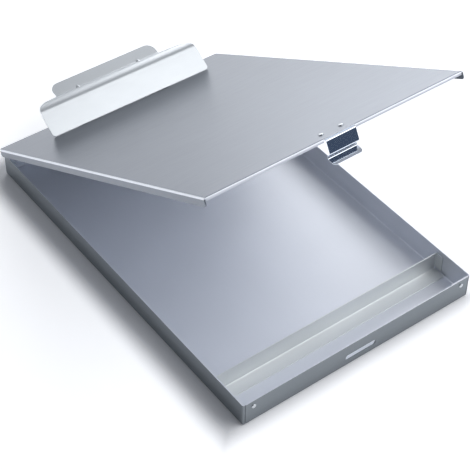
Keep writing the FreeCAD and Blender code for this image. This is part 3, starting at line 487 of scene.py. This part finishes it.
def satin_anodised(name, tint, roughness, grain):
    """Anodised aluminium sheet: the etched oxide gives an even satin sheen, with faint rolling lines.

    The rolling lines are finer than 0.1 mm on the real sheet, and are drawn coarser so that they show.
    """
    material, tree, output = new_material(name)
    lines = millimetre_noise(tree, grain, detail=3.0)
    clouds = millimetre_noise(tree, (70, 70, 70), detail=1.0)
    shade = mix_colours(tree, clouds, darker(tint, 0.93), tint)
    matte = spread(tree, lines, roughness - 0.03, roughness + 0.03)
    finish_metal(tree, output, shade, matte, relief(tree, lines, strength=0.05, depth=0.02))
    return material


def bright_nickel(name, tint, roughness):
    """Nickel-plated spring steel: almost white, with the soft sheen of polished sheet under the plate."""
    material, tree, output = new_material(name)
    lines = millimetre_noise(tree, (12, 0.5, 0.5))
    waves = millimetre_noise(tree, (40, 18, 18), detail=1.0)
    matte = spread(tree, lines, roughness - 0.03, roughness + 0.03)
    finish_metal(tree, output, tint, matte, relief(tree, waves, strength=0.12, depth=0.05))
    return material


def chrome_plate(name, tint):
    """Chrome on bent spring steel: a mirror that shows the studio in streaks, with faint waves."""
    material, tree, output = new_material(name)
    waves = millimetre_noise(tree, (9, 5, 5), detail=1.0)
    wear = millimetre_noise(tree, (3, 3, 3), detail=4.0)
    matte = spread(tree, wear, 0.09, 0.14)
    finish_metal(tree, output, tint, matte, relief(tree, waves, strength=0.08, depth=0.05))
    return material


def headed_aluminium(name, tint):
    """Plain aluminium of a set rivet: bright from the tool, with small scuffs."""
    material, tree, output = new_material(name)
    scuffs = millimetre_noise(tree, (0.6, 0.6, 0.6), detail=4.0)
    matte = spread(tree, scuffs, 0.22, 0.3)
    finish_metal(tree, output, tint, matte, relief(tree, scuffs, strength=0.15, depth=0.03))
    return material


def zinc_plate(name, tint):
    """Bright zinc on stamped steel: a greyish metal with a faint mottle a few millimetres across."""
    material, tree, output = new_material(name)
    place = add_node(tree, "ShaderNodeTexCoord").outputs["Object"]
    spangle = add_node(tree, "ShaderNodeTexVoronoi", inputs={"Vector": place, "Scale": 1 / (2.5 * MM)})
    shade = mix_colours(tree, spangle.outputs["Color"], darker(tint, 0.82), tint)
    finish_metal(tree, output, shade, spread(tree, spangle.outputs["Distance"], 0.3, 0.4))
    return material


def drawn_steel(name, tint):
    """Drawn wire: grey steel with fine die lines and a thin film of oil that evens its gloss."""
    material, tree, output = new_material(name)
    lines = millimetre_noise(tree, (8, 0.3, 0.3))
    matte = spread(tree, lines, 0.22, 0.34)
    finish_metal(tree, output, mix_colours(tree, lines, darker(tint, 0.75), tint), matte)
    return material


class CLIPBOX_OT_tray(bpy.types.Operator):
    """Fold the tray: floor and walls in one sheet, corner seams, tabs and the latch slot"""
    bl_idname = "clipbox.tray"
    bl_label = "Tray"

    def execute(self, context):
        size, finish = context.scene.tray_sizes, context.scene.finishes
        half, end, top = size.width / 2, size.depth / 2, size.height
        tray = block("tray_shell", (-half, -end, 0), (half, end, top))
        edit(tray)
        pick(tray, "FACE", lambda p: at(p.z, top))
        bpy.ops.mesh.delete(type="FACE")
        pick_edges(tray, lambda a, b: not (at(a.z, top) and at(b.z, top)))
        bevel(size.bend, steps=6)
        bpy.ops.mesh.remove_doubles(threshold=NEAR)
        thicken(tray, size.sheet)
        slot = self.slot_cutter(size, end)
        carve(tray, [slot] + [self.seam_cutter(size, half, end, *corner) for corner in CORNERS])
        soften(tray, size.rim)
        join(tray, [self.corner_tab(size, half, end, *corner) for corner in CORNERS])

        def painted_light_faces(p):
            """The rim, given a painted highlight, and the inner faces of floor and walls, given painted
            light.
            """
            between = abs(p.x) < half - size.sheet + NEAR and abs(p.y) < end - size.sheet + NEAR
            return p.z > top - size.rim - NEAR or (p.z > size.sheet - NEAR and between)

        # The lines of this sheet run from front to back, and across on the lid and the divider.
        grain = (0.7, 30, 0.7)
        metal = satin_anodised("grey_anodised_aluminium", tuple(finish.tray), finish.tray_roughness, grain)
        # The lining is the same aluminium made lighter: painted light on the inner faces and a painted
        # highlight on the rim.
        painted_lining = satin_anodised("painted_light_tray_inside", tuple(finish.inside), finish.painted_light_roughness,
                                grain)
        assign_painted_light(tray, metal, painted_lining, painted_light_faces)
        settle(tray, "tray", "tray")
        return {"FINISHED"}

    def slot_cutter(self, size, end):
        """A block with round ends, through the front wall."""
        half, rise, reach = size.slot_length / 2, size.slot_height / 2, 2 * size.sheet
        slot = block("slot_cutter", (-half, -end - reach, size.slot_middle - rise),
                     (half, -end + reach, size.slot_middle + rise))
        edit(slot)
        pick_edges(slot, lambda a, b: at(a.x, b.x) and at(a.z, b.z))
        bevel(rise - NEAR, steps=8)
        return slot

    def seam_cutter(self, size, half, end, across, along):
        """The open seam between a corner and the front or back wall."""
        x = across * (half - size.seam_inset)
        near_y, far_y = sorted((along * (end - size.sheet), along * (end + size.sheet)))
        return block("seam_cutter", (x - size.seam_gap / 2, near_y, size.seam_foot),
                     (x + size.seam_gap / 2, far_y, size.height + size.sheet))

    def corner_tab(self, size, half, end, across, along):
        """A tab folded in from a side wall, behind the front or back wall."""
        inner = half - size.sheet
        xs = sorted((across * inner, across * (inner - size.tab_length)))
        ys = sorted((along * (end - size.sheet), along * (end - 2 * size.sheet)))
        tab = block("corner_tab", (xs[0], ys[0], size.tab_foot), (xs[1], ys[1], size.height - size.tab_drop))
        soften(tab, size.rim / 2)
        return tab


class CLIPBOX_OT_divider(bpy.types.Operator):
    """Fold the pen divider: foot, wall with its finger gap, and an end tab at each side wall"""
    bl_idname = "clipbox.divider"
    bl_label = "Pen Divider"

    def execute(self, context):
        tray, size, finish = context.scene.tray_sizes, context.scene.divider_sizes, context.scene.finishes
        face = size.face - tray.depth / 2
        # The upper side of the foot, which lies on the tray's floor.
        floor = 2 * tray.sheet
        # The inner side of an end tab, whose thickness reaches the side wall.
        half = tray.width / 2 - 2 * tray.sheet
        notch = tray.width / 2 - tray.bend - size.play
        gap = size.gap_bottom / 2
        lean = (size.gap_top - size.gap_bottom) / 2
        wall = plane("pen_divider_sheet", 2 * notch, size.foot, (0, face - size.foot / 2, floor))
        edit(wall)
        fold_out(wall, lambda p: at(p.y, face), (0, 0, size.lip - floor))
        for x in (-gap, gap):
            pick(wall, "FACE", anywhere)
            cut_line((x, 0, 0), (1, 0, 0))
        fold_out(wall, lambda p: at(p.z, size.lip) and abs(p.x) > gap - NEAR,
                 (0, 0, size.height - size.lip))
        for side in (-1, 1):
            pick(wall, "VERT", lambda p: at(p.z, size.height) and at(p.x, side * gap))
            bpy.ops.transform.translate(value=(side * lean, 0, 0))
            fold_out(wall, lambda p: at(p.x, side * notch) and at(p.y, face) and p.z > size.lip - NEAR,
                     (side * (half - notch), 0, 0))
            fold_out(wall, lambda p: at(p.x, side * half), (0, tray.sheet - size.tab, 0))
        bend(wall, lambda p: at(abs(p.x), half) and at(p.y, face), size.tab_bend, steps=4)
        bend(wall, lambda p: at(p.y, face) and at(p.z, floor), size.bend, steps=4)
        round_off(wall, lambda p: at(p.z, size.height) and at(abs(p.x), size.gap_top / 2), size.corner,
                  steps=4)
        thicken(wall, tray.sheet)
        soften(wall, tray.rim / 2)
        metal = satin_anodised("clear_anodised_aluminium", tuple(finish.divider), finish.divider_roughness,
                               grain=(30, 0.7, 0.7))
        wall.data.materials.append(metal)
        settle(wall, "tray", "pen_divider")
        return {"FINISHED"}


class CLIPBOX_OT_lid(bpy.types.Operator):
    """Fold the lid: writing board, side flanges, and a front hem with a notch for the latch"""
    bl_idname = "clipbox.lid"
    bl_label = "Lid"

    def execute(self, context):
        size, finish = context.scene.lid_sizes, context.scene.finishes
        half, top, foot = size.width / 2, size.top, size.top - size.flange
        back, front = -size.back, -size.front
        lid = plane("writing_board", size.width, back - front, (0, (back + front) / 2, top))
        edit(lid)
        for side in (1, -1):
            fold_out(lid, lambda p: at(p.x, side * half), (0, 0, -size.flange))
        bend(lid, lambda p: at(abs(p.x), half) and at(p.z, top), size.fold)
        for x in (-size.notch / 2, size.notch / 2):
            pick(lid, "FACE", lambda p: at(p.z, top))
            cut_line((x, 0, 0), (1, 0, 0))
        for side in (-1, 1):
            def beside_notch(p):
                return at(p.y, front) and at(p.z, top) and side * p.x > size.notch / 2 - NEAR

            fold_out(lid, beside_notch, (0, 0, -size.hem))
            bend(lid, beside_notch, size.hem_fold, steps=4)
        round_off(lid, lambda p: at(p.z, foot) and at(p.y, back), size.round_back)
        round_off(lid, lambda p: at(p.z, foot) and at(p.y, front), size.round_front, steps=4)
        for side in (-1, 1):
            bpy.ops.mesh.select_all(action="SELECT")
            cut_line((side * half, back - size.clipped, 0), (side, 1, 0), clear=True)
        thicken(lid, size.sheet)
        soften(lid, size.edge)

        def painted_light_faces(p):
            """The side folds and the hem, given a painted highlight, and the underside between the flanges,
            given painted light.
            """
            fold = abs(p.x) > half - size.fold + MARGIN and p.z > top - size.fold
            between = abs(p.x) < half - size.sheet - size.edge
            return fold or (between and (p.y < front + size.hem_fold / 2 or p.z < top - size.sheet + NEAR))

        grain = (30, 0.8, 0.8)
        metal = satin_anodised("clear_anodised_lid", tuple(finish.lid), finish.lid_roughness, grain)
        # The lining paints a highlight on the folds and hem, and light under the lid.
        painted_lining = satin_anodised("painted_light_lid_inside", tuple(finish.inside), finish.painted_light_roughness,
                                grain)
        assign_painted_light(lid, metal, painted_lining, painted_light_faces)
        turn_open(lid)
        settle(lid, "lid", "lid_panel")
        return {"FINISHED"}


class CLIPBOX_OT_clip(bpy.types.Operator):
    """Fold the clip's jaw: pressing face, rounded ridge, and thumb tab with two pressed gussets"""
    bl_idname = "clipbox.clip"
    bl_label = "Clip Jaw"

    def execute(self, context):
        size, lid, finish = context.scene.clip_sizes, context.scene.lid_sizes, context.scene.finishes
        toe = Vector((0, -lid.back - size.toe_back, lid.top + size.toe_height))
        ridge = Vector((0, -lid.back - size.ridge_back, lid.top + size.ridge_height))
        crease = Vector((0, -lid.back - size.crease_back, lid.top + size.crease_height))
        tip = Vector((0, -lid.back - size.tip_back, lid.top + size.tip_height))
        leg, top, tab = ridge - toe, crease - ridge, tip - crease
        half_tab = size.tab_width / 2
        jaw = plane("clip_jaw_sheet", size.width, leg.length, (toe + ridge) / 2, math.atan2(leg.z, leg.y))
        edit(jaw)
        fold_out(jaw, lambda p: at(p.z, ridge.z), top)
        for x in (-half_tab, half_tab):
            pick(jaw, "FACE", anywhere)
            cut_line((x, 0, 0), (1, 0, 0))
        # The wings stop just before the crease's bend begins.
        stop = crease - top.normalized() * (size.crease_bend * math.tan(top.angle(tab) / 2) + MARGIN)
        pick(jaw, "FACE", lambda p: p.z > crease.z - NEAR)
        cut_line(stop, top.normalized())
        for side in (-1, 1):
            pick(jaw, "FACE", lambda p: side * p.x > half_tab - NEAR and p.y > stop.y - NEAR)
            bpy.ops.mesh.delete(type="FACE")
        fold_out(jaw, on_line(crease), tab)
        bend(jaw, on_line(ridge), size.ridge_bend, leg.angle(top), steps=10)
        bend(jaw, on_line(crease), size.crease_bend, top.angle(tab), steps=5)
        for side in (-1, 1):
            self.slant_wing(jaw, side, size, lid, Vector((half_tab, stop.y)))
        round_off(jaw, lambda p: at(p.z, tip.z), size.tab_round, steps=8)
        round_off(jaw, lambda p: at(p.z, toe.z), size.toe_round, steps=5)
        thicken(jaw, size.sheet)
        soften(jaw, size.edge)
        slope = top.normalized() + tab.normalized()
        join(jaw, [self.gusset(size, crease, slope, side) for side in (-1, 1)])
        turn_open(jaw)
        metal = bright_nickel("bright_nickel_plate", tuple(finish.clip), finish.clip_roughness)
        jaw.data.materials.append(metal)
        settle(jaw, "clip", "clip_jaw")
        return {"FINISHED"}

    def slant_wing(self, jaw, side, size, lid, root):
        """Cut a wing's back edge from the thumb tab's root into a rounded corner, by the arc's tangents."""
        middle = Vector((size.width / 2 - size.wing_round, -lid.back - size.wing_back))
        to_root = root - middle
        full_turn = math.atan2(to_root.y, to_root.x) - math.acos(size.wing_round / to_root.length)
        last = 8
        for cut in range(last + 1):
            turn = full_turn * cut / last
            outwards = Vector((math.cos(turn), math.sin(turn)))
            place = middle + size.wing_round * outwards
            pick(jaw, "FACE", lambda p: side * p.x > root.x - NEAR)
            cut_line((side * place.x, place.y, 0), (side * outwards.x, outwards.y, 0), clear=True)

    def gusset(self, size, crease, slope, side):
        """A pressed rib across the crease, level with the slope between its two flats."""
        deselect()
        bpy.ops.mesh.primitive_uv_sphere_add(segments=24, ring_count=12, radius=1,
                                             location=crease + Vector((side * size.gusset_place, 0, 0)),
                                             rotation=(math.atan2(slope.z, slope.y), 0, 0))
        bpy.context.object.scale = (size.gusset_width, size.gusset_reach, size.gusset_rise)
        return name_piece("gusset")


class CLIPBOX_OT_latch(bpy.types.Operator):
    """Fold the latch's leaf: upper bend, face, nose and thumb lip, and plate it with its foot"""
    bl_idname = "clipbox.latch"
    bl_label = "Latch"

    def execute(self, context):
        size, lid, finish = context.scene.latch_sizes, context.scene.lid_sizes, context.scene.finishes
        y, top = -lid.front - size.reach, lid.top
        upper = Vector((0, y, top - size.under))
        face_end = Vector((0, y, top - size.face))
        nose_top = Vector((0, y + size.nose_depth, top - size.nose_top))
        nose_bottom = Vector((0, y + size.nose_depth, top - size.nose_bottom))
        lip = Vector((0, y - size.lip_reach, top - size.lip_drop))
        folds = (face_end, nose_top, nose_bottom)
        runs = [face_end - upper, nose_top - face_end, nose_bottom - nose_top, lip - nose_bottom]
        leaf = plane("latch_leaf_sheet", size.width, upper.z - face_end.z, (upper + face_end) / 2,
                     math.pi / 2)
        edit(leaf)
        for fold, run in zip(folds, runs[1:]):
            fold_out(leaf, on_line(fold), run)
        fold_out(leaf, on_line(upper), (0, 2 * size.fold, 0))
        for fold, before, after in zip(folds, runs, runs[1:]):
            bend(leaf, on_line(fold), size.nose_round, before.angle(after), steps=4)
        bend(leaf, on_line(upper), size.fold, steps=8)
        round_off(leaf, lambda p: at(p.z, lip.z), size.lip_round)
        # The leaf ends inside its upper bend, where the foot takes over.
        pick(leaf, "FACE", lambda p: p.z > upper.z - size.fold - NEAR)
        cut_line((0, -lid.front - size.split, 0), (0, 1, 0), clear=True)
        thicken(leaf, size.sheet)
        soften(leaf, size.edge)
        turn_open(leaf)
        metal = chrome_plate("chrome_plate", tuple(finish.chrome))
        leaf.data.materials.append(metal)
        settle(leaf, "latch", "latch_leaf")
        dress(["latch_foot"], metal)
        return {"FINISHED"}


class CLIPBOX_OT_fasteners(bpy.types.Operator):
    """Give rivets, hinge leaves, pins, springs and the clip's hidden parts their metals"""
    bl_idname = "clipbox.fasteners"
    bl_label = "Rivets, Hinge and Springs"

    def execute(self, context):
        finish = context.scene.finishes
        dress([name for name in frame["nodes"] if name.endswith("_rivets")],
              headed_aluminium("set_aluminium_rivet", tuple(finish.rivet)))
        dress(["hinge_leaf_tray", "hinge_leaf_lid", "clip_base", "jaw_bracket_left", "jaw_bracket_right"],
              zinc_plate("zinc_plated_steel", tuple(finish.zinc)))
        dress(["hinge_pin", "clip_pin", "clip_spring_left", "clip_spring_right"],
              drawn_steel("drawn_steel_wire", tuple(finish.wire)))
        return {"FINISHED"}


class CLIPBOX_OT_stage(bpy.types.Operator):
    """Set the pale floor, the soft studio lamps and the photograph's camera"""
    bl_idname = "clipbox.stage"
    bl_label = "Stage"
    # Places and sizes of the studio are in metres, turns in degrees and powers in watts.
    floor_size = 30
    # The floor lies this far under the box, so that no two faces fall together.
    floor_drop = 0.2 * MM
    # The floor's glow; the middle of a painted shadow beside the tray's left and back, where the glow is
    # left out; and the width of its fade.
    glow = 0.62
    painted_shadow_middle = {"X": -9 * MM, "Y": 7 * MM}
    painted_shadow_fade = 24 * MM
    room, dusk = "#eef2fb", "#5c6b84"
    # What the camera sees mirrored in the latch's face lies this way.
    dusk_direction = (0.43, -0.89, 0.12)
    # Each lamp's name, place, size and power. They all face the middle of the open box.
    lamps = (("softbox_above", (0.95, -1.05, 1.7), 1.5, 17),
             ("softbox_back", (1.35, 1.5, 0.66), 1.3, 11),
             ("strip_back_left", (-1.0, 1.9, 0.35), 0.4, 4),
             ("card_behind", (0.84, 1.12, 1.4), 0.5, 1.1))
    aim = Vector((0, 0, 0.08))
    camera_place = (-0.56343, -0.75088, 0.918)
    camera_turn = (45.5, -0.674, -36.663)
    # Focal length and width of the sensor in millimetres, as Blender takes them.
    camera_lens, camera_sensor = 110.44, 36.0

    def execute(self, context):
        scene = context.scene
        deselect()
        bpy.ops.mesh.primitive_plane_add(size=self.floor_size, location=(0, 0, -self.floor_drop))
        floor = name_piece("studio_floor")
        floor.data.materials.append(self.floor_material(tuple(scene.finishes.floor)))
        self.set_world(scene)
        for lamp in self.lamps:
            self.add_softbox(*lamp)
        deselect()
        bpy.ops.object.camera_add(location=self.camera_place,
                                  rotation=tuple(math.radians(turn) for turn in self.camera_turn))
        camera = bpy.context.object
        camera.name = "photo_camera"
        camera.data.lens = self.camera_lens
        camera.data.sensor_width = self.camera_sensor
        scene.camera = camera
        scene.view_settings.view_transform = "Standard"
        return {"FINISHED"}

    def floor_material(self, tint):
        """Pale matte paper that glows white and keeps the object's shadow, with a painted shadow beside the
        tray where the glow fades out.
        """
        material, tree, output = new_material("pale_floor_paper")
        path = add_node(tree, "ShaderNodeLightPath").outputs
        seen = calculate(tree, "MAXIMUM", path["Is Camera Ray"], path["Is Glossy Ray"])
        seen = calculate(tree, "MAXIMUM", seen, path["Is Transmission Ray"])
        fibres = millimetre_noise(tree, (2, 2, 2), detail=3.0)
        matte = spread(tree, fibres, 0.85, 0.95)
        paper = add_node(tree, "ShaderNodeBsdfPrincipled",
                         inputs={"Base Color": tint, "Roughness": matte, "Specular IOR Level": 0.1})
        # Painted shadow: the glow is left out in a band beside the tray.
        glow = calculate(tree, "MULTIPLY", seen, self.glow_beside_painted_shadow(tree))
        light = add_node(tree, "ShaderNodeEmission", inputs={"Color": tint, "Strength": glow})
        both = add_node(tree, "ShaderNodeAddShader", inputs={0: paper.outputs[0], 1: light.outputs[0]})
        tree.links.new(both.outputs[0], output.inputs["Surface"])
        return material

    def glow_beside_painted_shadow(self, tree):
        """The floor's glow, full away from the tray and none in a painted shadow beside its left and back.
        """
        place = add_node(tree, "ShaderNodeTexCoord").outputs["Object"]
        parts = add_node(tree, "ShaderNodeSeparateXYZ", inputs={"Vector": place}).outputs
        beyond = []
        for axis, half in (("X", TRAY_HIGH.x), ("Y", TRAY_HIGH.y)):
            moved = calculate(tree, "SUBTRACT", parts[axis], self.painted_shadow_middle[axis])
            beyond.append(calculate(tree, "SUBTRACT", calculate(tree, "ABSOLUTE", moved), half))
        edge = calculate(tree, "MAXIMUM", *beyond)
        return ramp(tree, edge, start=0.0, end=self.painted_shadow_fade, low=0.0, high=self.glow)

    def set_world(self, scene):
        """A soft room, brighter to the right, with a dusky blue patch in front that the latch mirrors."""
        world = bpy.data.worlds.new("soft_room")
        scene.world = world
        world.use_nodes = True
        tree = world.node_tree
        tree.nodes.clear()
        output = add_node(tree, "ShaderNodeOutputWorld")
        direction = add_node(tree, "ShaderNodeTexCoord").outputs["Generated"]
        parts = add_node(tree, "ShaderNodeSeparateXYZ", inputs={"Vector": direction}).outputs
        to_right = ramp(tree, parts["X"], start=-0.2, end=0.8, low=0.3, high=0.72)
        overhead = ramp(tree, parts["Z"], start=0.5, end=0.95, low=1.0, high=0.65)
        strength = calculate(tree, "MULTIPLY", to_right, overhead)
        ahead = add_node(tree, "ShaderNodeVectorMath", {"operation": "DOT_PRODUCT"},
                         {0: direction, 1: self.dusk_direction})
        patch = ramp(tree, ahead.outputs["Value"], start=0.86, end=0.96, low=0.0, high=1.0)
        walls = mix_colours(tree, patch, linear(self.room), linear(self.dusk))
        light = add_node(tree, "ShaderNodeBackground", inputs={"Color": walls, "Strength": strength})
        tree.links.new(light.outputs[0], output.inputs["Surface"])

    def add_softbox(self, name, place, across, power):
        """A square white area lamp that faces the middle of the object."""
        deselect()
        bpy.ops.object.light_add(type="AREA", location=place)
        lamp = bpy.context.object
        lamp.name = name
        lamp.data.shape = "SQUARE"
        lamp.data.size = across
        lamp.data.energy = power
        lamp.rotation_euler = (self.aim - Vector(place)).to_track_quat("-Z", "Y").to_euler()


PIECES = (CLIPBOX_OT_tray, CLIPBOX_OT_divider, CLIPBOX_OT_lid, CLIPBOX_OT_clip, CLIPBOX_OT_latch,
          CLIPBOX_OT_fasteners, CLIPBOX_OT_stage)
GROUPS = {"tray_sizes": TraySizes, "divider_sizes": DividerSizes, "lid_sizes": LidSizes,
          "clip_sizes": ClipSizes, "latch_sizes": LatchSizes, "finishes": Finishes}


class CLIPBOX_PT_panel(bpy.types.Panel):
    """Lists the pieces and the stage, with the sizes and colours that they take"""
    bl_label = "Clipboard Box"
    bl_idname = "CLIPBOX_PT_panel"
    bl_space_type = "VIEW_3D"
    bl_region_type = "UI"
    bl_category = "Clipboard Box"

    def draw(self, context):
        for operator in PIECES:
            self.layout.operator(operator.bl_idname)
        for name, group in GROUPS.items():
            box = self.layout.box()
            box.label(text=name.replace("_", " ").title())
            for prop in group.__annotations__:
                box.prop(getattr(context.scene, name), prop)


def register():
    for group in GROUPS.values():
        bpy.utils.register_class(group)
    for name, group in GROUPS.items():
        setattr(bpy.types.Scene, name, PointerProperty(type=group))
    for operator in PIECES:
        bpy.utils.register_class(operator)
    bpy.utils.register_class(CLIPBOX_PT_panel)


def unregister():
    bpy.utils.unregister_class(CLIPBOX_PT_panel)
    for operator in reversed(PIECES):
        bpy.utils.unregister_class(operator)
    for name in GROUPS:
        delattr(bpy.types.Scene, name)
    for group in reversed(list(GROUPS.values())):
        bpy.utils.unregister_class(group)


def main():
    register()
    bpy.ops.clipbox.tray()
    bpy.ops.clipbox.divider()
    bpy.ops.clipbox.lid()
    bpy.ops.clipbox.clip()
    bpy.ops.clipbox.latch()
    bpy.ops.clipbox.fasteners()
    bpy.ops.clipbox.stage()
    deselect()


if __name__ == "__main__":
    main()
